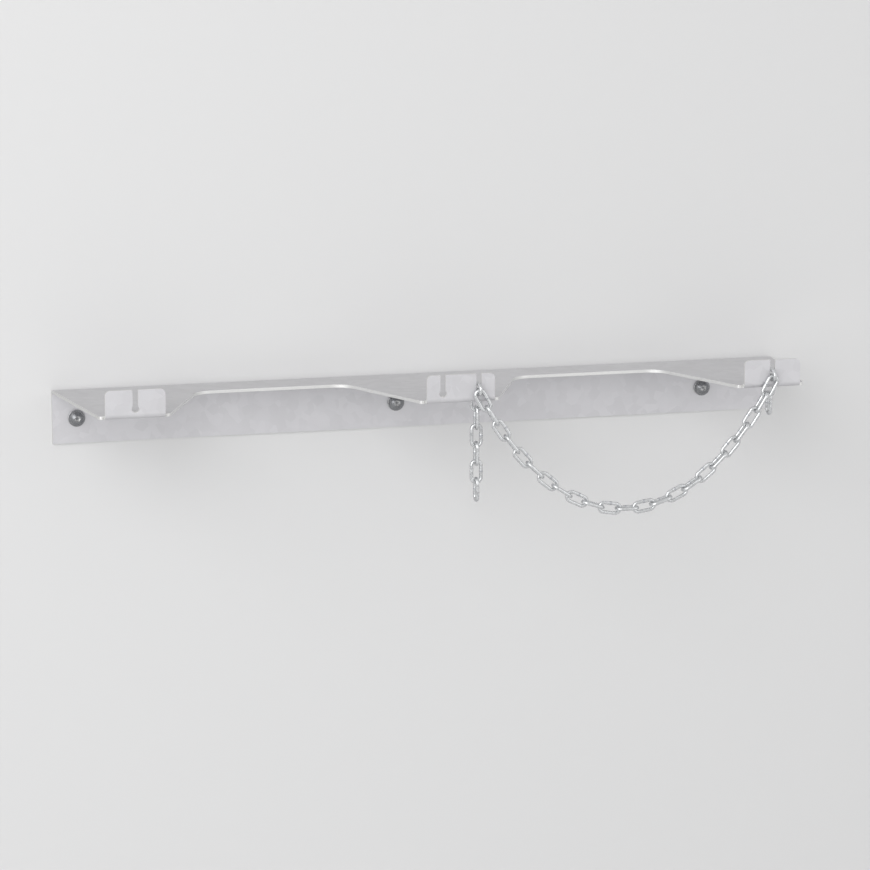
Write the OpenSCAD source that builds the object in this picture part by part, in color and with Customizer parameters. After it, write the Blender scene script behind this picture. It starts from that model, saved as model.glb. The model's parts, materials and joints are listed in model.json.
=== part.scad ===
// Wall bracket for two gas bottles: one laser-cut, folded steel sheet with two
// cradles and three slotted horns, screwed to the wall, and a round-link safety
// chain that hangs between two of the slots.
// Frame: X along the wall, Y into the wall, Z up. The origin is where the axis
// of the middle screw meets the wall.

/* [Gas bottle] */
// Diameter of the bottle that a cradle takes
bottle_d = 229; // [180:1:240]
// Play between the bottle and the cradle's edge
bottle_gap = 1; // [0.5:0.5:4]
// Distance from the wall to the back of a cradle
cradle_back = 45; // [30:1:60]
// Angle of a cradle's flanks from the wall's normal
flank_angle = 24; // [18:1:30]
// Radius in a cradle's two back corners
cradle_corner_r = 25; // [10:1:35]

/* [Folded sheet] */
// Thickness of the sheet
sheet_t = 3; // [2:0.5:4]
// Inside radius of every fold
fold_r = 2; // [1:0.5:4]
// Height of the wall flange, over the fold
flange_h = 54; // [48:1:80]
// Distance from the wall to the front face of the tabs
shelf_depth = 158; // [140:1:175]
// Height of the tabs, from the underside of the shelf
tab_h = 28; // [26:1:40]
// Radius of the tabs' top corners
tab_corner_r = 5; // [1:0.5:8]

/* [Horns] */
// Width of an end horn at its front edge
end_horn_w = 68; // [56:1:90]
// Width of the middle horn at its front edge
mid_horn_w = 78; // [66:1:100]
// Bare front edge of the shelf beside each tab
shoulder = 5; // [3:0.5:8]
// Setback of the end horns' front corners from the flange's ends
end_setback = 20; // [8:1:40]
// Radius of the horns' front corners
horn_corner_r = 3; // [1:0.5:4]
// Diameter of the relief notch at each tab's root
relief_d = 3; // [2:0.5:4]

/* [Chain slots] */
// Width of a chain slot
slot_w = 5.2; // [4.6:0.1:6]
// Diameter of the round root of a chain slot
root_d = 7.5; // [6.5:0.1:9]
// Height of the slot's root above the shelf
root_h = 3; // [2.5:0.1:5]
// Distance of the middle tab's slots from the tab's centre line
slot_offset = 18; // [15:0.5:22]
// Diameter of the hole in the shelf that the chain's tail drops through
drop_hole_d = 18.6; // [17.5:0.1:20]
// Distance from the tab's front face to the centre of that hole
drop_hole_setback = 14.6; // [14.4:0.1:17]

/* [Screws] */
// Distance from the rail's left end to its first screw
screw_inset = 24; // [16:1:40]
// Depth of the screw row below the top of the flange
screw_drop = 29; // [24:1:34]
// Diameter of the plain neck of a screw
neck_d = 8; // [6:0.5:8]
// Mean diameter of a screw's threaded part
thread_d = 7.2; // [5:0.1:7.4]
// Length of a screw behind the wall's face
screw_grip = 50; // [30:1:80]
// Diameter of a screw's domed head
head_d = 13; // [11:0.5:14]
// Height of the head's straight rim
rim_h = 1.6; // [1:0.2:3]
// Height of the head's dome above its rim
dome_h = 3; // [2:0.2:4]
// Width across flats of the hexagon socket
socket_af = 5; // [3:0.5:6]
// Depth of the hexagon socket
socket_depth = 2.6; // [1.5:0.1:3]
// Outer diameter of a washer
washer_d = 17; // [15:0.5:20]
// Thickness of a washer
washer_t = 1.6; // [1:0.1:2.5]
// Play in diameter between a screw's neck and its holes
hole_play = 0.6; // [0.4:0.1:1.5]
// Gap that keeps stacked pieces apart
seat_gap = 0.05; // [0.02:0.01:0.1]

/* [Chain] */
// Diameter of the chain's wire
wire_d = 3.5; // [3:0.1:3.8]
// Inside length of a link, which is the chain's pitch
link_pitch = 18; // [17:0.5:20]
// Inside width of a link
link_inner_w = 6; // [5.5:0.1:6.5]
// Play between two links, and between a link and its seat
link_play = 0.2; // [0.1:0.05:0.3]
// Height of the weld bead on a link's wire
bead_h = 0.25; // [0.1:0.05:0.4]
// Width of the weld bead
bead_w = 4; // [3:0.5:6]
// Gap between the hanging chain and the tabs' front face
chain_gap = 0.75; // [0.5:0.05:1.5]
// Spare length of the chain round a bottle
chain_slack = 8; // [0:1:16]
// Links that hang behind the middle tab
left_tail_links = 6; // [2:1:8]
// Links that hang behind the right tab
right_tail_links = 2; // [2:1:6]

/* [Hidden] */
$fn = 64;
eps = 1;                                  // overrun of every cutter

// Folds
outer_r = sheet_t + fold_r;               // outside radius of a fold
shelf_top = screw_drop;                   // the screw row is at Z = 0
shelf_under = shelf_top - sheet_t;
shelf_edge = shelf_depth - outer_r;       // where the tabs' fold starts
tab_top = shelf_under + tab_h;
tab_foot = shelf_under + outer_r;         // where the tabs' flat starts

// Cradles: tangents to the bottle on its back and on both sides
bottle_r = bottle_d / 2 + bottle_gap;
bottle_axis = cradle_back + bottle_r;     // from the wall
function cradle_half(depth) =
    bottle_r / cos(flank_angle) - (bottle_axis - depth) * tan(flank_angle);
cradle_mouth = 2 * cradle_half(shelf_edge);
station_pitch = cradle_mouth + mid_horn_w;

// Stations along the wall
rail_left = -(screw_inset + station_pitch);
mid_x = rail_left + end_setback + end_horn_w + cradle_mouth + mid_horn_w / 2;
rail_right = 2 * mid_x - rail_left;
rail_len = rail_right - rail_left;
cradle_x = [mid_x - station_pitch / 2, mid_x + station_pitch / 2];
end_tab_w = end_horn_w - 2 * shoulder;
mid_tab_w = mid_horn_w - 2 * shoulder;
left_tab_x = rail_left + end_setback + end_horn_w / 2;
right_tab_x = rail_right - end_setback - end_horn_w / 2;
tabs = [[left_tab_x, end_tab_w], [mid_x, mid_tab_w], [right_tab_x, end_tab_w]];
slots_x = [left_tab_x, mid_x - slot_offset, mid_x + slot_offset, right_tab_x];
drop_hole_y = shelf_depth - drop_hole_setback;
screws_x = [-station_pitch, 0, station_pitch];
screw_names = ["left", "middle", "right"];

// Fasteners
hole_d = neck_d + hole_play;
washer_front = sheet_t + seat_gap + washer_t;
head_seat = washer_front + seat_gap;
tip_len = thread_d;
tip_d = 1;                                // the flat at the point of a screw
socket_r = socket_af / 2 / cos(30);
dome_r = ((head_d / 2) ^ 2 + dome_h ^ 2) / (2 * dome_h);

// Chain links: the wire's centre line is two straights and two half circles
wire_r = wire_d / 2;
link_r = (link_inner_w + wire_d) / 2;     // radius of that half circle
link_straight = link_pitch - link_inner_w;
link_span = link_straight + 2 * link_r;   // from crown to crown
hang = wire_d + link_play;                // between two wires that hang in each other
bead_r = (bead_h ^ 2 + (bead_w / 2) ^ 2) / (2 * bead_h);

// Hook links lie across the roots of two slots, and carry a tail and the span
hook_front = shelf_depth + wire_r + chain_gap;
hook_back = hook_front - link_straight;
hook_seat = shelf_top + root_h + link_play + wire_r;
hook_z = hook_seat + link_r;
hook_x = [slots_x[2], slots_x[3]];

// The span: links lie flat along the wall and on edge by turns, and turn in
// each other at the crowns of those on edge
slot_span = hook_x[1] - hook_x[0];
flat_seg = link_span - 2 * hang;
edge_seg = link_span;
wrap_r = bottle_r + wire_d;
wrap_half = slot_span / 2;
wrap_len = 2 * sqrt(wrap_half ^ 2 - wrap_r ^ 2)
    + wrap_r * (180 - 2 * acos(wrap_r / wrap_half)) * PI / 180 + chain_slack;
link_pairs = floor((wrap_len + edge_seg - link_pitch) / (2 * link_pitch));
span_links = 2 * link_pairs + 1;
span_mid = (span_links - 1) / 2;

function seg_len(i) = i % 2 == 0 ? flat_seg : edge_seg;
// Slope of link i when each weighs the same and the pull along the wall is k links
function seg_angle(i, k) = atan((span_mid - i) / k);
function reach(k, i = 0) =
    i == span_links ? 0 : seg_len(i) * cos(seg_angle(i, k)) + reach(k, i + 1);
function solve_pull(low, high, halvings) =
    let (k = (low + high) / 2)
    halvings == 0 ? k : reach(k) < slot_span ? solve_pull(k, high, halvings - 1)
        : solve_pull(low, k, halvings - 1);
least_pull = 0.1;                         // the pull lies between these two
greatest_pull = 200;
pull_halvings = 50;                       // times that the range is halved
pull = solve_pull(least_pull, greatest_pull, pull_halvings);
function span_joint(i) =
    i == 0 ? [hook_x[0], hook_seat]
        : span_joint(i - 1) + seg_len(i - 1) * [cos(seg_angle(i - 1, pull)),
                                                 -sin(seg_angle(i - 1, pull))];

// Plan outline of the sheet, as [along the wall, out from the wall, corner radius]
function tab_root(x, tab_w) = [
    [x - tab_w / 2, shelf_edge, 0],
    [x - tab_w / 2, shelf_depth + eps, 0],
    [x + tab_w / 2, shelf_depth + eps, 0],
    [x + tab_w / 2, shelf_edge, 0]
];
function cradle(x) = [
    [x - cradle_half(shelf_edge), shelf_edge, horn_corner_r],
    [x - cradle_half(cradle_back), cradle_back, cradle_corner_r],
    [x + cradle_half(cradle_back), cradle_back, cradle_corner_r],
    [x + cradle_half(shelf_edge), shelf_edge, horn_corner_r]
];
plan = concat(
    [[rail_left, -eps, 0], [rail_left, outer_r, 0],
     [rail_left + end_setback, shelf_edge, horn_corner_r]],
    tab_root(left_tab_x, end_tab_w),
    cradle(cradle_x[0]),
    tab_root(mid_x, mid_tab_w),
    cradle(cradle_x[1]),
    tab_root(right_tab_x, end_tab_w),
    [[rail_right - end_setback, shelf_edge, horn_corner_r],
     [rail_right, outer_r, 0], [rail_right, -eps, 0]]
);

// Points of a polygon whose corners are rounded to the radius that each one gives
fewest_chords = 4;                        // in a rounded corner
chord_radius = 1;                         // a corner has a chord for each of these in its radius
function xy(p) = [p[0], p[1]];
function unit(v) = v / norm(v);
function corner(a, b, c) =
    b[2] == 0 ? [xy(b)]
        : let (u = unit(xy(a) - xy(b)), v = unit(xy(c) - xy(b)),
               half = acos(u * v) / 2,
               centre = xy(b) + unit(u + v) * b[2] / sin(half),
               turn = u[0] * v[1] - u[1] * v[0] > 0 ? -1 : 1,
               from = centre - xy(b) - u * ((centre - xy(b)) * u),
               start = atan2(-from[1], -from[0]),
               chords = max(fewest_chords, ceil(b[2] / chord_radius)),
               step = turn * (180 - 2 * half) / chords)
          [for (i = [0:chords]) centre + b[2] * [cos(start + step * i), sin(start + step * i)]];
function rounded(pts) = [
    for (i = [0:len(pts) - 1])
        each corner(pts[(i + len(pts) - 1) % len(pts)], pts[i], pts[(i + 1) % len(pts)])
];

function two_digits(i) = i < 10 ? str("0", i) : str(i);
function span_name(i) = str("span_link_", two_digits(i));
function tail_name(side, i) = str(side, "_tail_link_", i);

// A quarter fold along the rail, about the line (y, z), in the quadrant (side_y, side_z)
module fold(y, z, side_y, side_z) {
    translate([rail_left, y, z])
        intersection() {
            rotate([0, 90, 0])
                difference() {
                    cylinder(r = outer_r, h = rail_len);
                    translate([0, 0, -eps])
                        cylinder(r = fold_r, h = rail_len + 2 * eps);
                }
            translate([0, side_y < 0 ? -outer_r : 0, side_z < 0 ? -outer_r : 0])
                cube([rail_len, outer_r, outer_r]);
        }
}

module strip(y0, z0, y1, z1) {
    translate([rail_left, y0, z0])
        cube([rail_len, y1 - y0, z1 - z0]);
}

// The sheet's section along the whole rail, as it leaves the press
module folded_strip() {
    strip(0, shelf_top - flange_h, sheet_t, shelf_top - outer_r);
    fold(outer_r, shelf_top - outer_r, -1, 1);
    strip(outer_r, shelf_under, shelf_edge, shelf_top);
    fold(shelf_edge, tab_foot, 1, -1);
    strip(shelf_depth - sheet_t, tab_foot, shelf_depth, tab_top);
}

// Rounds a tab's top corner: side is -1 on its left and 1 on its right
module tab_corner(x, side) {
    translate([x - side * tab_corner_r, shelf_edge, tab_top - tab_corner_r])
        difference() {
            translate([side < 0 ? -tab_corner_r - eps : 0, 0, 0])
                cube([tab_corner_r + eps, outer_r + eps, tab_corner_r + eps]);
            translate([0, -eps, 0])
                rotate([-90, 0, 0])
                    cylinder(r = tab_corner_r, h = outer_r + 3 * eps);
        }
}

// A chain slot, open at the tab's top, with a round root
module chain_slot(x) {
    root_z = shelf_top + root_h + root_d / 2;
    translate([x, shelf_edge, root_z])
        rotate([-90, 0, 0])
            cylinder(d = root_d, h = outer_r + eps);
    translate([x - slot_w / 2, shelf_edge, root_z])
        cube([slot_w, outer_r + eps, tab_top - root_z + eps]);
}

module wall_rail() {
    color("Gainsboro")
        mirror([0, 1, 0])
            difference() {
                intersection() {
                    folded_strip();
                    translate([0, 0, shelf_top - flange_h - eps])
                        linear_extrude(height = flange_h + tab_h + 2 * eps)
                            polygon(rounded(plan));
                }
                for (t = tabs)
                    for (side = [-1, 1]) {
                        tab_corner(t[0] + side * t[1] / 2, side);
                        translate([t[0] + side * t[1] / 2, shelf_edge, shelf_under - eps])
                            cylinder(d = relief_d, h = sheet_t + fold_r + eps);
                    }
                for (x = slots_x) {
                    chain_slot(x);
                    translate([x, drop_hole_y, shelf_under - eps])
                        cylinder(d = drop_hole_d, h = sheet_t + 2 * eps);
                }
                for (x = screws_x)
                    translate([x, -eps, 0])
                        rotate([-90, 0, 0])
                            cylinder(d = hole_d, h = sheet_t + 2 * eps);
            }
}

// Turns a piece made along +Z so that it points out of the wall at x
module from_wall(x) {
    translate([x, 0, 0])
        rotate([90, 0, 0])
            children();
}

module washer(i) {
    color("DimGray")
        from_wall(screws_x[i])
            translate([0, 0, sheet_t + seat_gap])
                difference() {
                    cylinder(d = washer_d, h = washer_t);
                    translate([0, 0, -eps])
                        cylinder(d = hole_d, h = washer_t + 2 * eps);
                }
}

module wall_screw(i) {
    color("DimGray")
        from_wall(screws_x[i])
            difference() {
                union() {
                    translate([0, 0, tip_len - screw_grip])
                        cylinder(d = thread_d, h = screw_grip - tip_len);
                    translate([0, 0, -screw_grip])
                        cylinder(d1 = tip_d, d2 = thread_d, h = tip_len);
                    cylinder(d = neck_d, h = head_seat);
                    translate([0, 0, head_seat])
                        cylinder(d = head_d, h = rim_h);
                    translate([0, 0, head_seat + rim_h])
                        intersection() {
                            translate([0, 0, dome_h - dome_r])
                                sphere(r = dome_r);
                            cylinder(d = head_d, h = dome_h + eps);
                        }
                }
                translate([0, 0, head_seat + rim_h + dome_h - socket_depth])
                    cylinder(r = socket_r, h = socket_depth + eps, $fn = 6);
            }
}

// One welded link, in the XY plane, with its long axis along X
module chain_link() {
    color("Silver")
        union() {
            for (side = [-1, 1]) {
                translate([-link_straight / 2, side * link_r, 0])
                    rotate([0, 90, 0])
                        cylinder(r = wire_r, h = link_straight);
                translate([side * link_straight / 2, 0, 0])
                    rotate([0, 0, -side * 90])
                        rotate_extrude(angle = 180)
                            translate([link_r, 0])
                                circle(r = wire_r);
            }
            translate([0, link_r, 0])
                rotate([0, 90, 0])
                    weld_bead();
        }
}

// A low ring round the wire, where the link was closed
module weld_bead() {
    rotate_extrude()
        intersection() {
            translate([wire_r + bead_h - bead_r, 0])
                circle(r = bead_r);
            translate([0, -bead_w / 2])
                square([wire_r + bead_h, bead_w]);
        }
}

// A link on edge across the root of a slot, half in front of the tab
module hook_link(i) {
    translate([hook_x[i], -(hook_front + hook_back) / 2, hook_z])
        rotate([90, 0, 90])
            chain_link();
}

// Link i of the span, from 1, between its two joints
module span_link(i) {
    a = span_joint(i - 1);
    b = span_joint(i);
    mid = (a + b) / 2;
    translate([mid[0], -hook_front, mid[1]])
        rotate([0, seg_angle(i - 1, pull), 0])
            rotate([i % 2 == 1 ? 90 : 0, 0, 0])
                chain_link();
}

// Link i of a tail, from 1: the first hangs on the hook link, through the shelf
module tail_link(x, i) {
    crown = hook_seat + hang - (i - 1) * (link_span - hang);
    translate([x, -hook_back, crown - link_span / 2])
        rotate([0, 90, 0])
            rotate([i % 2 == 1 ? 90 : 0, 0, 0])
                chain_link();
}

wall_rail();
for (i = [0:2]) {
    wall_screw(i);
    washer(i);
}
hook_link(0);  // hook_link_left
hook_link(1);  // hook_link_right
for (i = [1:span_links])
    span_link(i);
for (i = [1:left_tail_links])
    tail_link(hook_x[0], i);
for (i = [1:right_tail_links])
    tail_link(hook_x[1], i);
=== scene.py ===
import json
import math
import random

import bmesh
import bpy
import numpy as np
from bpy.props import FloatProperty, FloatVectorProperty, IntProperty, PointerProperty
from mathutils import Matrix, Vector, noise


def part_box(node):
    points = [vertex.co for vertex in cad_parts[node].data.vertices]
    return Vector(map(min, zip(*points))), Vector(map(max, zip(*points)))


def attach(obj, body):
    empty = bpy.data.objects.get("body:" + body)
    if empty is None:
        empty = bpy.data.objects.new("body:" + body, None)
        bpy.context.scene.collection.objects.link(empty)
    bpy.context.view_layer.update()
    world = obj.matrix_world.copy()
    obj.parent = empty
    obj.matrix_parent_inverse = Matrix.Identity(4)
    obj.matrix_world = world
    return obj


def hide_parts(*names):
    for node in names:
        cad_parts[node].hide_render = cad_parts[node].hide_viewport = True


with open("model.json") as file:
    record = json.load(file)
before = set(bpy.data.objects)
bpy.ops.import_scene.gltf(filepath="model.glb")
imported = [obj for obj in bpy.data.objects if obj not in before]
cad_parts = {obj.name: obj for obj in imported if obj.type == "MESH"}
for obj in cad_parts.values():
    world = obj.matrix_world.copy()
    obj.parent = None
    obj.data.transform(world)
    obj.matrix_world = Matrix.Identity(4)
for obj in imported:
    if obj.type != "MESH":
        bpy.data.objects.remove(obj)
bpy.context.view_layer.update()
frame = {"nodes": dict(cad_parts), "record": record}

bl_info = {
    "name": "Gas Bottle Wall Bracket",
    "version": (1, 0, 0),
    "blender": (4, 5, 0),
    "location": "View3D > Sidebar > Bracket",
    "description": "Dresses a folded wall bracket and its safety chain in zinc, on a plain studio wall",
    "category": "Object",
}

BODY_OF_NODE = {n: b for b, nodes in frame["record"]["behaviour"]["bodies"].items() for n in nodes}
MM = 0.001


def nodes_named(start):
    """The frame's nodes whose names start so, in order."""
    return sorted(n for n in frame["nodes"] if n.startswith(start))


# ---------------------------------------------------------------- sizes and colours


def length(name, description, default):
    return FloatProperty(name=name, description=description, default=default, unit="LENGTH", precision=5)


def share(name, description, default):
    return FloatProperty(name=name, description=description, default=default, min=0, max=1, subtype="FACTOR")


def colour(name, description, default):
    return FloatVectorProperty(
        name=name, description=description, default=default, size=4, min=0, max=1, subtype="COLOR"
    )


def point(name, description, default):
    return FloatVectorProperty(name=name, description=description, default=default, subtype="TRANSLATION")


class RailSettings(bpy.types.PropertyGroup):
    sheet_thickness: length("Sheet", "Thickness of the folded sheet", 3 * MM)
    fold_radius: length("Fold", "Inside radius of the folds", 2 * MM)
    shelf_top: length("Shelf", "Height of the shelf's upper face", 29 * MM)
    edge_round: length("Edge round", "Width of the deburred round on every cut edge", 0.45 * MM)
    spangle: length("Spangle", "Size of one zinc crystal", 9 * MM)
    roughness: share("Roughness", "Roughness of the zinc skin", 0.5)
    zinc: colour("Zinc", "Colour of the zinc skin", (0.64, 0.635, 0.655, 1))
    # The cut-edge colour is lighter than the zinc: partly bare steel, partly a painted highlight along the edges.
    cut_edge_and_highlight: colour("Cut edge", "Colour of the laser-cut edges", (0.80, 0.80, 0.79, 1))


class ScrewSettings(bpy.types.PropertyGroup):
    columns: IntProperty(name="Columns", description="Faces round a screw, six to a side", default=36, min=12)
    head_diameter: length("Head", "Diameter of the domed head", 13 * MM)
    rim_height: length("Rim", "Height of the head's straight rim", 1.6 * MM)
    dome_height: length("Dome", "Height of the dome above the rim", 3 * MM)
    socket_flats: length("Socket", "Width across flats of the hexagon socket", 5 * MM)
    socket_depth: length("Socket depth", "Depth of the hexagon socket", 2.6 * MM)
    head_seat: length("Head seat", "Distance from the wall to the head's underside", 4.7 * MM)
    neck_diameter: length("Neck", "Diameter of the plain neck", 8 * MM)
    core_diameter: length("Core", "Diameter at the thread's root", 6.3 * MM)
    thread_height: length("Thread height", "Height of the thread over its root", 0.85 * MM)
    thread_pitch: length("Pitch", "Distance from one thread to the next", 3 * MM)
    grip: length("Grip", "Length of a screw behind the wall's face", 50 * MM)
    tip_length: length("Tip", "Length of the pointed tip", 7.2 * MM)
    steel: colour("Steel", "Colour of the dark zinc plate", (0.24, 0.245, 0.255, 1))


class WasherSettings(bpy.types.PropertyGroup):
    columns: IntProperty(name="Columns", description="Faces round a washer", default=64, min=12)
    edge_round: length("Edge round", "Radius of a washer's outer edges", 0.35 * MM)


class ChainSettings(bpy.types.PropertyGroup):
    wire: length("Wire", "Diameter of the chain's wire", 3.5 * MM)
    inner_length: length("Inner length", "Inside length of a link", 18 * MM)
    inner_width: length("Inner width", "Inside width of a link", 6 * MM)
    sides: IntProperty(name="Sides", description="Faces round the wire", default=20, min=8)
    bend_steps: IntProperty(name="Bend steps", description="Faces along each bend", default=14, min=6)
    leg_steps: IntProperty(name="Leg steps", description="Faces along each straight leg", default=18, min=4)
    weld_height: length("Weld height", "Height of the swelling where a link is welded", 0.25 * MM)
    weld_width: length("Weld width", "Length of that swelling along the wire", 4 * MM)
    bend_flat: length("Bend flat", "How far the wire is pressed in on the outside of a bend", 0.08 * MM)
    zinc: colour("Zinc", "Colour of the bright zinc plate", (0.66, 0.67, 0.68, 1))


class StageSettings(bpy.types.PropertyGroup):
    wall: colour("Wall", "Colour of the studio wall", (0.66, 0.66, 0.662, 1))
    floor: colour("Floor", "Colour of the studio floor", (0.72, 0.72, 0.72, 1))
    floor_drop: length("Floor drop", "Height of the bracket above the floor", 1.1)
    stage_size: length("Stage size", "Width of the wall and of the floor", 9.0)
    key: FloatProperty(name="Key", description="Power of the main lamp", default=62, unit="POWER")
    key_place: point("Key place", "Place of the main lamp", (-1.9, -2.4, 1.1))
    key_size: length("Key size", "Width of the main lamp", 2.8)
    fill: FloatProperty(name="Fill", description="Power of the lamp on the right", default=15, unit="POWER")
    fill_place: point("Fill place", "Place of the lamp on the right", (2.4, -2.6, 0.6))
    fill_size: length("Fill size", "Width of the lamp on the right", 2.4)
    lit_point: point("Lit point", "Point that both lamps look at", (0, -0.1, 0))
    ambient: FloatProperty(name="Ambient", description="Strength of the room's light", default=0.72, min=0)
    camera_place: point("Camera", "Place of the camera", (-0.946, -3.654, 0.703))
    camera_target: point("Target", "Point that the camera looks at", (0.02, -0.08, -0.02))
    lens: FloatProperty(name="Lens", description="Focal length in millimetres", default=158, min=10)


# ---------------------------------------------------------------- meshes


def new_piece(name, bm, material, *replaced):
    """Makes the bmesh a finished piece that stands for the replaced nodes and rides as they do."""
    mesh = bpy.data.meshes.new(name)
    bm.to_mesh(mesh)
    bm.free()
    mesh.materials.append(material)
    mesh.shade_smooth()
    piece = bpy.data.objects.new(name, mesh)
    bpy.context.scene.collection.objects.link(piece)
    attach(piece, BODY_OF_NODE[replaced[0]])
    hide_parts(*replaced)
    return piece


def sharpen(piece, degrees):
    """Splits the shading at edges that turn more than this."""
    piece.data.set_sharp_from_angle(angle=math.radians(degrees))


def merged_copy(node):
    """A bmesh of the node's mesh with its loose triangles joined and flat areas cleaned."""
    bm = bmesh.new()
    bm.from_mesh(frame["nodes"][node].data)
    bmesh.ops.remove_doubles(bm, verts=bm.verts, dist=0.001 * MM)
    bmesh.ops.dissolve_limit(
        bm, angle_limit=math.radians(0.05), verts=bm.verts, edges=bm.edges, delimit={"NORMAL"}
    )
    return bm


def round_edges(bm, width, least_turn):
    """Rounds every edge that turns at least so many degrees, in two steps."""
    edges = [e for e in bm.edges if e.is_manifold and e.calc_face_angle() > math.radians(least_turn)]
    return bmesh.ops.bevel(
        bm, geom=edges, offset=width, offset_type="OFFSET", segments=2, profile=0.5,
        affect="EDGES", clamp_overlap=True, material=-1,
    )["faces"]


def sheet_normal(rail, low, high, y, z):
    """The direction through the folded sheet's thickness at a point of its section, between its lowest and
    highest corners."""
    outer = rail.sheet_thickness + rail.fold_radius
    tab_foot = rail.shelf_top - rail.sheet_thickness + outer
    tab_fold_y = low.y + outer
    if y < tab_fold_y:
        return Vector((0, 1, 0)) if z > tab_foot else Vector((0, y - tab_fold_y, z - tab_foot)).normalized()
    if y > high.y - outer:
        wall_fold_z = rail.shelf_top - outer
        if z < wall_fold_z:
            return Vector((0, 1, 0))
        return Vector((0, y - high.y + outer, z - wall_fold_z)).normalized()
    return Vector((0, 0, 1))


def spin_profile(profile, columns):
    """A bmesh of an outline of (radius, distance) points turned once round Z; zero radii close it."""
    bm = bmesh.new()
    verts = [bm.verts.new((r, 0, z)) for r, z in profile]
    edges = [bm.edges.new(pair) for pair in zip(verts, verts[1:])]
    bmesh.ops.spin(
        bm, geom=verts + edges, cent=(0, 0, 0), axis=(0, 0, 1), angle=math.tau, steps=columns, use_merge=True
    )
    bmesh.ops.remove_doubles(bm, verts=bm.verts, dist=0.0005 * MM)
    bmesh.ops.recalc_face_normals(bm, faces=bm.faces)
    return bm


def out_of_wall(x):
    """Turns a piece made along +Z so that it points out of the wall at x."""
    return Matrix.Translation((x, 0, 0)) @ Matrix.Rotation(math.radians(90), 4, "X")


def ring_profile(inner, outer, low, high, corner):
    """Outline of a flat ring whose outer corners are rounded, as a closed list of (radius, distance)."""
    steps = 4
    turn = [math.radians(90) * i / steps for i in range(steps + 1)]
    under = [(outer - corner + corner * math.sin(a), low + corner - corner * math.cos(a)) for a in turn]
    over = [(outer - corner + corner * math.cos(a), high - corner + corner * math.sin(a)) for a in turn]
    chamfer = corner / 2
    return [(inner, low + chamfer), (inner + chamfer, low), *under, *over,
            (inner + chamfer, high), (inner, high - chamfer), (inner, low + chamfer)]


def arc(centre_r, centre_z, radius, start, end, steps):
    """Points of an arc in an outline, from one angle to the other, in degrees from +radius."""
    angles = [math.radians(start + (end - start) * i / steps) for i in range(steps + 1)]
    return [(centre_r + radius * math.cos(a), centre_z + radius * math.sin(a)) for a in angles]


def screw_outline(screw):
    """Outline of a screw from its tip to its socket's floor, and where the socket starts in it."""
    rows_a_pitch = 10
    core = screw.core_diameter / 2
    neck = screw.neck_diameter / 2
    head = screw.head_diameter / 2
    rim_top = screw.head_seat + screw.rim_height
    top = rim_top + screw.dome_height
    dome = (head ** 2 + screw.dome_height ** 2) / (2 * screw.dome_height)
    corner = 0.5 * MM
    lip = 0.25 * MM
    row = screw.thread_pitch / rows_a_pitch
    rows = round(screw.grip / row)
    outline = [(0, -screw.grip)]
    for i in range(1, rows):
        z = -screw.grip + i * row
        outline.append((core * min(1, math.sqrt((z + screw.grip) / screw.tip_length)), z))
    outline += [(core, 0), (neck, 0.6 * MM), (neck, screw.head_seat)]
    outline += arc(head - corner, screw.head_seat + corner, corner, -90, 0, 4)
    rim_angle = math.degrees(math.acos(head / dome))
    socket = screw.socket_flats / 2
    mouth_angle = math.degrees(math.acos((socket + lip) / dome))
    outline += arc(0, top - dome, dome, rim_angle, mouth_angle, 12)
    mouth = len(outline) - 1
    mouth_z = outline[-1][1]
    floor = top - screw.socket_depth
    outline += [(socket, mouth_z - lip), (socket, floor), (0, floor - 0.5 * MM)]
    return outline, mouth


def screw_bmesh(screw):
    """A wall screw along +Z: pointed thread, neck, domed head with a hexagon socket."""
    outline, mouth = screw_outline(screw)
    bm = spin_profile(outline, screw.columns)
    near = 0.01 * MM
    mouth_r, mouth_z = (size + near for size in outline[mouth])
    flat = math.radians(60)
    half_ridge = 0.28  # share of the pitch between a thread's crest and its foot
    for v in bm.verts:
        r, turn = math.hypot(v.co.x, v.co.y), math.atan2(v.co.y, v.co.x)
        if 0 < r < mouth_r and screw.head_seat < v.co.z <= mouth_z:
            share_of_hexagon = 1 / math.cos((turn % flat) - flat / 2)
            v.co.xy = v.co.xy * share_of_hexagon
        elif v.co.z < 0 and r > 0:
            phase = (v.co.z / screw.thread_pitch - turn / math.tau) % 1
            ridge = max(0, 1 - abs(phase - 0.5) / half_ridge)
            grown = min(1, r / (screw.core_diameter / 2)) * min(1, -v.co.z / screw.thread_pitch)
            v.co.xy *= (r + screw.thread_height * ridge * grown) / r
    return bm


def link_bmesh(chain, seed):
    """One welded link in the XY plane, long axis on X, with a swollen weld on its +Y leg."""
    bend = (chain.inner_width + chain.wire) / 2
    leg = chain.inner_length - chain.inner_width
    bm = bmesh.new()
    start = Matrix.Translation((-leg / 2, bend, 0)) @ Matrix.Rotation(math.radians(90), 4, "Y")
    ring = bmesh.ops.create_circle(bm, segments=chain.sides, radius=chain.wire / 2, matrix=start)["verts"]
    end = ring + [e for e in bm.edges]
    for side in (1, -1):
        end = sweep(bm, end, (side * leg, 0, 0), 0, (0, 0, 0), chain.leg_steps)
        end = sweep(bm, end, (0, 0, 0), -math.pi, (side * leg / 2, 0, 0), chain.bend_steps)
    bmesh.ops.remove_doubles(bm, verts=bm.verts, dist=0.001 * MM)
    bmesh.ops.recalc_face_normals(bm, faces=bm.faces)
    shape_link(bm, chain, bend, leg, random.Random(seed))
    return bm


def sweep(bm, geometry, slide, turn, centre, steps):
    """Sweeps a ring along a slide or a turn about Z, and returns the ring at its end."""
    step = Vector(slide) / steps
    return bmesh.ops.spin(
        bm, geom=geometry, cent=centre, axis=(0, 0, 1), dvec=step, angle=turn, steps=steps
    )["geom_last"]


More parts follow.
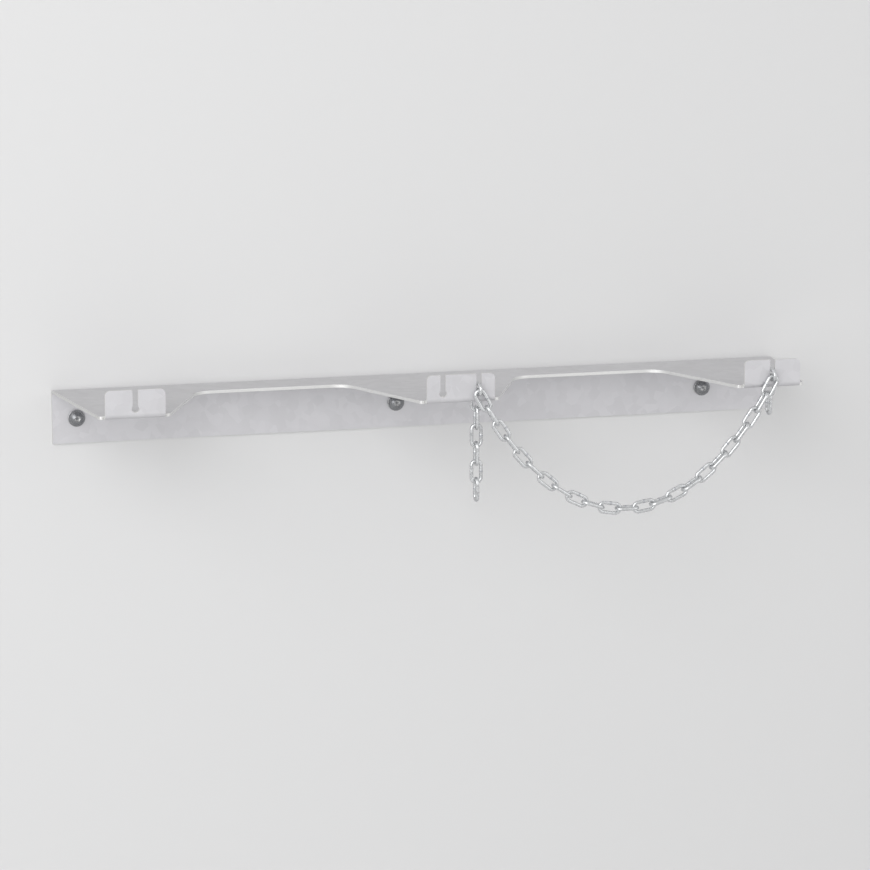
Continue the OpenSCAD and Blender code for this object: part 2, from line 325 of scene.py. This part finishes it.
def shape_link(bm, chain, bend, leg, chance):
    """Swells the weld, presses the bends and marks both for the finish."""
    link_co = bm.verts.layers.float_vector.new("link_co")
    weld = bm.verts.layers.float.new("weld")
    contact = bm.verts.layers.float.new("contact")
    offset = chance.uniform(-0.3, 0.3) * MM
    height = chain.weld_height * chance.uniform(0.75, 1)
    squeeze = chance.uniform(0.5, 1)
    shift = Vector((chance.uniform(0, 10), chance.uniform(0, 10), 0))
    swell_fall, seam_fall = 2.2, 40  # how fast the swelling and the seam on it die away along the wire
    lump = 0.9 * MM
    for v in bm.verts:
        v[link_co] = v.co + shift
        side = 1 if v.co.x > 0 else -1
        over = max(0, abs(v.co.x) - leg / 2)
        if over == 0:
            middle = Vector((v.co.x, math.copysign(bend, v.co.y), 0))
        else:
            hub = Vector((side * leg / 2, 0, 0))
            middle = hub + (Vector((v.co.x, v.co.y, 0)) - hub).normalized() * bend
        out = v.co - middle
        away = out.normalized()
        if v.co.y > 0 and over == 0:
            along = (v.co.x - offset) / (chain.weld_width / 2)
            swell = math.exp(-swell_fall * along ** 2)
            seam = math.exp(-seam_fall * along ** 2)
            v[weld] = min(1, 0.75 * swell + seam)
            rough = noise.noise((v.co + shift) / lump) * 0.25
            flat = 1 - 0.55 * squeeze * abs(away.z)
            v.co += away * height * flat * min(1, swell * (0.85 + rough) + 0.15 * seam)
        if over > 0:
            hub = Vector((side * leg / 2, 0, 0))
            outward = (Vector((v.co.x, v.co.y, 0)) - hub).normalized()
            crown = max(0, outward.x * side)
            facing = away.dot(outward)
            v[contact] = max(0, -facing) ** 1.5 * crown ** 2
            v.co -= outward * chain.bend_flat * max(0, facing) ** 3 * crown


def link_place(node, chain):
    """Where a link's node lies, as a matrix: its long axis, its weld's side and its normal, from its surface."""
    mesh = frame["nodes"][node].data
    mesh.calc_loop_triangles()
    corners = np.array([v.co for v in mesh.vertices])
    areas = np.array([t.area for t in mesh.loop_triangles])
    middles = corners[np.array([t.vertices for t in mesh.loop_triangles])].mean(axis=1)
    centroid = np.average(middles, axis=0, weights=areas)
    spread = middles - centroid
    axes = np.linalg.eigh((spread * areas[:, None]).T @ spread)[1].T
    low, high = (corners @ axes.T).min(axis=0), (corners @ axes.T).max(axis=0)
    half_width = chain.inner_width / 2 + chain.wire
    centre = (low + high) / 2
    sides = {1: low[1] + half_width, -1: high[1] - half_width}
    weld_side = min(sides, key=lambda side: abs(sides[side] - centroid @ axes[1]))
    centre[1] = sides[weld_side]
    along, across = Vector(axes[2]), Vector(axes[1] * weld_side)
    turned = Matrix((along, across, along.cross(across))).transposed().to_4x4()
    return Matrix.Translation(centre @ axes) @ turned


# ---------------------------------------------------------------- finishes


def put(tree, kind, settings=None, **sockets):
    """Adds a node. Sockets are values or other nodes' outputs, with _ for a space in their names."""
    node = tree.nodes.new("ShaderNode" + kind)
    for name, value in (settings or {}).items():
        setattr(node, name, value)
    for name, value in sockets.items():
        socket = node.inputs[name.replace("_", " ")]
        if isinstance(value, bpy.types.NodeSocket):
            tree.links.new(value, socket)
        else:
            socket.default_value = value
    return node


def calculate(tree, operation, *values):
    """A Math node's result."""
    node = put(tree, "Math", {"operation": operation})
    for socket, value in zip(node.inputs, values):
        if isinstance(value, bpy.types.NodeSocket):
            tree.links.new(value, socket)
        else:
            socket.default_value = value
    return node.outputs[0]


def blend_colour(tree, share_of_b, a, b, mode="MIX"):
    """A colour Mix node's result."""
    node = put(tree, "Mix", {"data_type": "RGBA", "blend_type": mode}, Factor=share_of_b)
    for socket, value in zip((node.inputs[6], node.inputs[7]), (a, b)):
        if isinstance(value, bpy.types.NodeSocket):
            tree.links.new(value, socket)
        else:
            socket.default_value = value
    return node.outputs[2]


def remap(tree, value, low, high, to_low, to_high):
    """Maps one range of values to another, held at its ends."""
    return put(
        tree, "MapRange", None, Value=value, From_Min=low, From_Max=high, To_Min=to_low, To_Max=to_high
    ).outputs["Result"]


SOCKETS = {"Color": "NodeSocketColor", "Vector": "NodeSocketVector"}


def new_group(name, inputs, outputs):
    """An empty node group with the named sockets, its input node's outputs and a function that ends it."""
    tree = bpy.data.node_groups.new(name, "ShaderNodeTree")
    for direction, names in (("INPUT", inputs), ("OUTPUT", outputs)):
        for socket in names:
            kind = SOCKETS.get(socket.split()[-1], "NodeSocketFloat")
            tree.interface.new_socket(name=socket, in_out=direction, socket_type=kind)
    entry = tree.nodes.new("NodeGroupInput").outputs
    leave = tree.nodes.new("NodeGroupOutput").inputs

    def end(**results):
        for socket, value in results.items():
            tree.links.new(value, leave[socket])
        return tree

    return tree, entry, end


def crystal_group():
    """Zinc crystals: patches of slightly different shade and gloss, with clouds over them."""
    tree, entry, end = new_group(
        "Zinc Crystals", ["Vector", "Color", "Roughness", "Crystal Size", "Contrast"], ["Color", "Roughness", "Height"]
    )
    scale = calculate(tree, "DIVIDE", 1, entry["Crystal Size"])
    wander = put(tree, "TexNoise", None, Vector=entry["Vector"], Scale=260.0, Detail=2.0)
    bent = put(tree, "VectorMath", {"operation": "MULTIPLY_ADD"})
    tree.links.new(wander.outputs["Color"], bent.inputs[0])
    bent.inputs[1].default_value = (0.0022, 0.0022, 0.0022)
    tree.links.new(entry["Vector"], bent.inputs[2])
    patches = put(tree, "TexVoronoi", {"feature": "F1"}, Vector=bent.outputs[0], Scale=scale, Randomness=1.0)
    shade = put(tree, "SeparateColor", None, Color=patches.outputs["Color"])
    clouds = put(tree, "TexNoise", None, Vector=entry["Vector"], Scale=14.0, Detail=4.0, Roughness=0.55)
    grain = put(tree, "TexNoise", None, Vector=entry["Vector"], Scale=2400.0, Detail=2.0)
    patch = calculate(tree, "SUBTRACT", shade.outputs["Red"], 0.5)
    cloud = calculate(tree, "SUBTRACT", clouds.outputs["Fac"], 0.5)
    tone = calculate(tree, "ADD", calculate(tree, "MULTIPLY", patch, 0.5), cloud)
    tone = calculate(tree, "MULTIPLY_ADD", tone, entry["Contrast"], 1)
    grey = put(tree, "CombineColor", None, Red=tone, Green=tone, Blue=tone)
    colour_out = blend_colour(tree, 1.0, entry["Color"], grey.outputs[0], "MULTIPLY")
    gloss = calculate(tree, "SUBTRACT", shade.outputs["Green"], 0.5)
    gloss = calculate(tree, "MULTIPLY", gloss, calculate(tree, "MULTIPLY", entry["Contrast"], 0.5))
    rough_out = calculate(tree, "ADD", entry["Roughness"], gloss)
    height = calculate(tree, "MULTIPLY_ADD", shade.outputs["Blue"], 0.3, grain.outputs["Fac"])
    return end(Color=colour_out, Roughness=rough_out, Height=height)


def wear_group():
    """Wear: where the mask is high, the finish gives way to another one with a ragged border."""
    tree, entry, end = new_group(
        "Worn Through", ["Vector", "Color", "Roughness", "Worn Color", "Worn Roughness", "Mask"],
        ["Color", "Roughness", "Mask"],
    )
    ragged = put(tree, "TexNoise", None, Vector=entry["Vector"], Scale=900.0, Detail=3.0)
    shifted = calculate(tree, "MULTIPLY_ADD", ragged.outputs["Fac"], 0.6, -0.3)
    mask = remap(tree, calculate(tree, "ADD", entry["Mask"], shifted), 0.25, 0.75, 0.0, 1.0)
    colour_out = blend_colour(tree, mask, entry["Color"], entry["Worn Color"])
    rough = put(tree, "Mix", {"data_type": "FLOAT"}, Factor=mask)
    tree.links.new(entry["Roughness"], rough.inputs[2])
    tree.links.new(entry["Worn Roughness"], rough.inputs[3])
    return end(Color=colour_out, Roughness=rough.outputs[0], Mask=mask)


def handling_group():
    """Handling: faint rubbed streaks and smudges that change the gloss and leave hair-thin scratches."""
    tree, entry, end = new_group("Handling", ["Vector", "Roughness", "Amount"], ["Roughness", "Height"])
    stretched = put(tree, "Mapping", None, Vector=entry["Vector"], Scale=(6.0, 160.0, 160.0))
    streaks = put(tree, "TexNoise", None, Vector=stretched.outputs[0], Scale=6.0, Detail=5.0, Roughness=0.7)
    smudges = put(tree, "TexNoise", None, Vector=entry["Vector"], Scale=32.0, Detail=3.0)
    both = calculate(tree, "ADD", streaks.outputs["Fac"], smudges.outputs["Fac"])
    change = calculate(tree, "MULTIPLY", calculate(tree, "SUBTRACT", both, 1), entry["Amount"])
    scratch = remap(tree, streaks.outputs["Fac"], 0.66, 0.72, 0.0, 1.0)
    return end(Roughness=calculate(tree, "ADD", entry["Roughness"], change), Height=scratch)


def dust_group():
    """Dust: a thin matt film on faces that look up."""
    tree, entry, end = new_group("Dust", ["Vector", "Color", "Roughness", "Amount"], ["Color", "Roughness"])
    normal = put(tree, "NewGeometry").outputs["Normal"]
    up = put(tree, "SeparateXYZ", None, Vector=normal).outputs["Z"]
    uneven = put(tree, "TexNoise", None, Vector=entry["Vector"], Scale=45.0, Detail=4.0)
    lying = calculate(tree, "MULTIPLY", remap(tree, up, 0.5, 1.0, 0.0, 1.0), uneven.outputs["Fac"])
    film = calculate(tree, "MULTIPLY", lying, entry["Amount"])
    colour_out = blend_colour(tree, film, entry["Color"], (0.60, 0.59, 0.56, 1))
    rough = calculate(tree, "MULTIPLY_ADD", film, 0.35, entry["Roughness"])
    return end(Color=colour_out, Roughness=rough)


GROUPS = {}


def use(tree, maker, **sockets):
    """Places a node group, which is built the first time."""
    if maker not in GROUPS:
        GROUPS[maker] = maker()
    node = put(tree, "Group", {"node_tree": GROUPS[maker]}, **sockets)
    return node.outputs


def new_material(name, **sockets):
    """A material with one Principled shader, and that shader."""
    material = bpy.data.materials.new(name)
    material.use_nodes = True
    material.node_tree.nodes.clear()
    shader = put(material.node_tree, "BsdfPrincipled", None, **sockets)
    output = put(material.node_tree, "OutputMaterial")
    material.node_tree.links.new(shader.outputs[0], output.inputs["Surface"])
    return material, material.node_tree, shader


def finish_shader(tree, shader, colour_out, rough_out, height, depth):
    """Links colour, roughness and a bump of so many metres to the shader."""
    bump = put(tree, "Bump", None, Height=height, Distance=depth, Strength=1.0)
    tree.links.new(colour_out, shader.inputs["Base Color"])
    tree.links.new(rough_out, shader.inputs["Roughness"])
    tree.links.new(bump.outputs["Normal"], shader.inputs["Normal"])


def zinc_skin(rail):
    """The galvanised face of the sheet."""
    material, tree, shader = new_material("galvanised_face", Metallic=0.62)
    place = put(tree, "TexCoord").outputs["Object"]
    zinc = use(tree, crystal_group, Vector=place, Color=tuple(rail.zinc), Roughness=rail.roughness,
               Crystal_Size=rail.spangle, Contrast=0.13)
    handled = use(tree, handling_group, Vector=place, Roughness=zinc["Roughness"], Amount=0.12)
    dusty = use(tree, dust_group, Vector=place, Color=zinc["Color"], Roughness=handled["Roughness"], Amount=0.25)
    height = calculate(tree, "MULTIPLY_ADD", handled["Height"], -0.4, zinc["Height"])
    finish_shader(tree, shader, dusty["Color"], dusty["Roughness"], height, 0.012 * MM)
    return material


def cut_edge_and_highlight(rail):
    """The laser-cut edge and its rounds: bare steel with the cut's fine grooves, in a light colour that is partly a
    painted highlight.
    """
    material, tree, shader = new_material("laser_cut_edge", Metallic=0.75)
    place = put(tree, "TexCoord").outputs["Object"]
    zinc = use(tree, crystal_group, Vector=place, Color=tuple(rail.cut_edge_and_highlight), Roughness=0.36,
               Crystal_Size=1.2 * MM, Contrast=0.08)
    grooves = put(tree, "TexWave", {"wave_type": "BANDS", "bands_direction": "X"}, Vector=place,
                  Scale=700.0, Distortion=1.5, Detail=1.0)
    height = calculate(tree, "ADD", zinc["Height"], grooves.outputs["Fac"])
    finish_shader(tree, shader, zinc["Color"], zinc["Roughness"], height, 0.02 * MM)
    return material


def chain_zinc(chain):
    """Bright zinc plate on the chain, duller at the welds and polished where links rub."""
    material, tree, shader = new_material("bright_zinc_chain", Metallic=0.9)
    place = put(tree, "Attribute", {"attribute_name": "link_co"}).outputs["Vector"]
    weld = put(tree, "Attribute", {"attribute_name": "weld"}).outputs["Fac"]
    contact = put(tree, "Attribute", {"attribute_name": "contact"}).outputs["Fac"]
    zinc = use(tree, crystal_group, Vector=place, Color=tuple(chain.zinc), Roughness=0.27,
               Crystal_Size=2.2 * MM, Contrast=0.3)
    welded = use(tree, wear_group, Vector=place, Color=zinc["Color"], Roughness=zinc["Roughness"],
                 Worn_Color=(0.42, 0.43, 0.46, 1), Worn_Roughness=0.46, Mask=calculate(tree, "MULTIPLY", weld, 0.75))
    rubbed = use(tree, wear_group, Vector=place, Color=welded["Color"], Roughness=welded["Roughness"],
                 Worn_Color=(0.80, 0.80, 0.79, 1), Worn_Roughness=0.14, Mask=contact)
    handled = use(tree, handling_group, Vector=place, Roughness=rubbed["Roughness"], Amount=0.1)
    finish_shader(tree, shader, rubbed["Color"], handled["Roughness"], zinc["Height"], 0.008 * MM)
    return material


def dark_zinc(screw):
    """Dark zinc plate of the screws and washers, lighter along its turned edges: rubbed wear together with a painted
    edge highlight.
    """
    material, tree, shader = new_material("dark_zinc_fixings", Metallic=0.9)
    place = put(tree, "TexCoord").outputs["Object"]
    edge = put(tree, "Attribute", {"attribute_name": "worn_edge"}).outputs["Fac"]
    skin = use(tree, crystal_group, Vector=place, Color=tuple(screw.steel), Roughness=0.33,
               Crystal_Size=1.5 * MM, Contrast=0.35)
    # The lighter colour on the marked edges, the socket's rim among them, is rubbed wear and also a painted highlight.
    worn_and_highlit = use(tree, wear_group, Vector=place, Color=skin["Color"], Roughness=skin["Roughness"],
               Worn_Color=(0.58, 0.58, 0.58, 1), Worn_Roughness=0.25, Mask=calculate(tree, "MULTIPLY", edge, 0.8))
    dusty = use(tree, dust_group, Vector=place, Color=worn_and_highlit["Color"], Roughness=worn_and_highlit["Roughness"], Amount=0.3)
    finish_shader(tree, shader, dusty["Color"], dusty["Roughness"], skin["Height"], 0.01 * MM)
    return material


MATERIALS = {}


def finish_of(maker, settings):
    """The named finish, which is built the first time."""
    if maker not in MATERIALS:
        MATERIALS[maker] = maker(settings)
    return MATERIALS[maker]


def one_sided(name, tint):
    """A matt stage surface that vanishes from behind."""
    material, tree, shader = new_material(name, Base_Color=tuple(tint), Roughness=0.9, Metallic=0.0)
    shader.inputs["Specular IOR Level"].default_value = 0.2
    output = tree.nodes["Material Output"]
    behind = put(tree, "NewGeometry").outputs["Backfacing"]
    clear = put(tree, "BsdfTransparent")
    mixed = put(tree, "MixShader", None, Fac=behind)
    tree.links.new(shader.outputs[0], mixed.inputs[1])
    tree.links.new(clear.outputs[0], mixed.inputs[2])
    tree.links.new(mixed.outputs[0], output.inputs["Surface"])
    return material


# ---------------------------------------------------------------- operators


class BRACKET_OT_rail(bpy.types.Operator):
    """Makes the folded sheet: its skin as galvanised, its cut edges rounded and lighter, partly as a painted highlight
    """

    bl_idname = "bracket.rail"
    bl_label = "Folded Rail"

    def execute(self, context):
        rail = context.scene.bracket_rail
        low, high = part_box("wall_rail")
        steepest_skin = 0.6  # least share of a skin face's normal that points through the sheet
        bm = merged_copy("wall_rail")
        rounds = set(round_edges(bm, rail.edge_round, 40))
        for face in bm.faces:
            middle = face.calc_center_median()
            through = sheet_normal(rail, low, high, middle.y, middle.z)
            cut = abs(face.normal.dot(through)) < steepest_skin
            # Cut faces and rounds take the lighter edge finish, which in part paints a highlight along the edges.
            face.material_index = 1 if cut or face in rounds else 0
        piece = new_piece("folded_rail", bm, finish_of(zinc_skin, rail), "wall_rail")
        piece.data.materials.append(finish_of(cut_edge_and_highlight, rail))
        sharpen(piece, 30)
        piece.modifiers.new("Flat faces", "WEIGHTED_NORMAL").keep_sharp = True
        return {"FINISHED"}


def mark_edges(bm, least_turn):
    """Marks the points of a fastener's turned edges for the lighter edge colour: wear and a painted highlight."""
    mark = bm.verts.layers.float.new("worn_edge")
    for edge in bm.edges:
        if edge.is_manifold and edge.calc_face_angle() > math.radians(least_turn):
            for v in edge.verts:
                v[mark] = 1


class BRACKET_OT_screws(bpy.types.Operator):
    """Makes the wall screws: threaded shank, plain neck and domed head with a hexagon socket"""

    bl_idname = "bracket.screws"
    bl_label = "Wall Screws"

    def execute(self, context):
        screw = context.scene.bracket_screw
        for number, node in enumerate(nodes_named("wall_screw_")):
            low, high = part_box(node)
            bm = screw_bmesh(screw)
            mark_edges(bm, 20)
            turned = Matrix.Rotation(math.radians(47) * number, 4, "Z")
            bmesh.ops.transform(bm, matrix=out_of_wall((low.x + high.x) / 2) @ turned, verts=bm.verts)
            piece = new_piece(node.replace("wall_", ""), bm, finish_of(dark_zinc, screw), node)
            sharpen(piece, 35)
        return {"FINISHED"}


class BRACKET_OT_washers(bpy.types.Operator):
    """Makes the washers under the screws' heads"""

    bl_idname = "bracket.washers"
    bl_label = "Washers"

    def execute(self, context):
        washer = context.scene.bracket_washer
        screw = context.scene.bracket_screw
        for node in nodes_named("washer_"):
            low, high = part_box(node)
            inner = min(math.hypot(v.co.x - (low.x + high.x) / 2, v.co.z) for v in frame["nodes"][node].data.vertices)
            outline = ring_profile(inner, (high.x - low.x) / 2, -high.y, -low.y, washer.edge_round)
            bm = spin_profile(outline, washer.columns)
            mark_edges(bm, 20)
            bmesh.ops.transform(bm, matrix=out_of_wall((low.x + high.x) / 2), verts=bm.verts)
            piece = new_piece("flat_" + node, bm, finish_of(dark_zinc, screw), node)
            sharpen(piece, 35)
        return {"FINISHED"}


def make_links(context, start):
    """Makes a welded link for each of the nodes whose names start so."""
    chain = context.scene.bracket_chain
    for node in nodes_named(start):
        bm = link_bmesh(chain, node)
        bmesh.ops.transform(bm, matrix=link_place(node, chain), verts=bm.verts)
        piece = new_piece("welded_" + node, bm, finish_of(chain_zinc, chain), node)


class BRACKET_OT_hook_links(bpy.types.Operator):
    """Makes the two links that lie across the roots of the slots"""

    bl_idname = "bracket.hook_links"
    bl_label = "Hook Links"

    def execute(self, context):
        make_links(context, "hook_link_")
        return {"FINISHED"}


class BRACKET_OT_span(bpy.types.Operator):
    """Makes the chain that hangs from slot to slot"""

    bl_idname = "bracket.span"
    bl_label = "Chain Span"

    def execute(self, context):
        make_links(context, "span_link_")
        return {"FINISHED"}


class BRACKET_OT_tails(bpy.types.Operator):
    """Makes the chain's two loose tails behind the tabs"""

    bl_idname = "bracket.tails"
    bl_label = "Chain Tails"

    def execute(self, context):
        make_links(context, "left_tail_link_")
        make_links(context, "right_tail_link_")
        return {"FINISHED"}


def stage_plane(name, size, matrix, material):
    """A square of the stage, facing its own +Z."""
    bm = bmesh.new()
    bmesh.ops.create_grid(bm, x_segments=1, y_segments=1, size=size / 2, matrix=matrix)
    mesh = bpy.data.meshes.new(name)
    bm.to_mesh(mesh)
    bm.free()
    mesh.materials.append(material)
    plane = bpy.data.objects.new(name, mesh)
    bpy.context.scene.collection.objects.link(plane)
    return plane


def lamp(name, place, target, power, size):
    """A square lamp that looks at the target."""
    data = bpy.data.lights.new(name, "AREA")
    data.energy = power
    data.size = size
    light = bpy.data.objects.new(name, data)
    light.location = place
    light.rotation_euler = (Vector(target) - Vector(place)).to_track_quat("-Z", "Y").to_euler()
    bpy.context.scene.collection.objects.link(light)


class BRACKET_OT_stage(bpy.types.Operator):
    """Makes the pale wall, the floor, the lamps, the room's light and the camera"""

    bl_idname = "bracket.stage"
    bl_label = "Studio Stage"

    def execute(self, context):
        stage = context.scene.bracket_stage
        wall_gap = 0.3 * MM
        half = stage.stage_size / 2
        wall = stage_plane(
            "studio_wall", stage.stage_size,
            Matrix.Translation((0, wall_gap, half - stage.floor_drop)) @ Matrix.Rotation(math.radians(90), 4, "X"),
            one_sided("wall_paint", stage.wall),
        )
        wall.visible_diffuse = wall.visible_glossy = wall.visible_shadow = False
        floor = stage_plane(
            "studio_floor", stage.stage_size, Matrix.Translation((0, wall_gap - half, -stage.floor_drop)),
            one_sided("floor_paint", stage.floor),
        )
        floor.visible_shadow = False
        self.light(context, stage)
        self.camera(context, stage)
        context.scene.view_settings.view_transform = "Standard"
        return {"FINISHED"}

    def light(self, context, stage):
        """Soft lamps from the upper left and from the right, in a pale room."""
        lamp("key_lamp", stage.key_place, stage.lit_point, stage.key, stage.key_size)
        lamp("fill_lamp", stage.fill_place, stage.lit_point, stage.fill, stage.fill_size)
        world = bpy.data.worlds.new("pale_room")
        world.use_nodes = True
        tree = world.node_tree
        background = tree.nodes["Background"]
        way = put(tree, "SeparateXYZ", None, Vector=put(tree, "TexCoord").outputs["Generated"]).outputs
        shade = remap(tree, way["Z"], -1.0, 1.0, 0.75, 1.0)
        shade = calculate(tree, "MULTIPLY", shade, remap(tree, way["Y"], -0.3, 0.6, 1.05, 0.93))
        grey = put(tree, "CombineColor", None, Red=shade, Green=shade, Blue=shade)
        tree.links.new(grey.outputs[0], background.inputs["Color"])
        background.inputs["Strength"].default_value = stage.ambient
        context.scene.world = world

    def camera(self, context, stage):
        """A camera on the viewer's side, to the left of the bracket and above it."""
        data = bpy.data.cameras.new("camera")
        data.lens = stage.lens
        data.clip_start, data.clip_end = 0.05, 50
        camera = bpy.data.objects.new("camera", data)
        camera.location = stage.camera_place
        looking = Vector(stage.camera_target) - Vector(stage.camera_place)
        camera.rotation_euler = looking.to_track_quat("-Z", "Y").to_euler()
        context.scene.collection.objects.link(camera)
        context.scene.camera = camera


STEPS = (BRACKET_OT_rail, BRACKET_OT_screws, BRACKET_OT_washers, BRACKET_OT_hook_links,
         BRACKET_OT_span, BRACKET_OT_tails, BRACKET_OT_stage)


class BRACKET_PT_panel(bpy.types.Panel):
    """The bracket's steps and sizes"""

    bl_idname = "BRACKET_PT_panel"
    bl_label = "Wall Bracket"
    bl_space_type = "VIEW_3D"
    bl_region_type = "UI"
    bl_category = "Bracket"

    def draw(self, context):
        for name in SETTINGS:
            settings = getattr(context.scene, name)
            box = self.layout.box()
            for key in settings.bl_rna.properties.keys():
                if key not in ("rna_type", "name"):
                    box.prop(settings, key)
        for step in STEPS:
            self.layout.operator(step.bl_idname)


SETTINGS = {"bracket_rail": RailSettings, "bracket_screw": ScrewSettings, "bracket_washer": WasherSettings,
            "bracket_chain": ChainSettings, "bracket_stage": StageSettings}
CLASSES = (*SETTINGS.values(), *STEPS, BRACKET_PT_panel)


def register():
    for item in CLASSES:
        bpy.utils.register_class(item)
    for name, group in SETTINGS.items():
        setattr(bpy.types.Scene, name, PointerProperty(type=group))


def unregister():
    for name in SETTINGS:
        delattr(bpy.types.Scene, name)
    for item in reversed(CLASSES):
        bpy.utils.unregister_class(item)


def main():
    register()
    for step in STEPS:
        group, name = step.bl_idname.split(".")
        getattr(getattr(bpy.ops, group), name)()


if __name__ == "__main__":
    main()
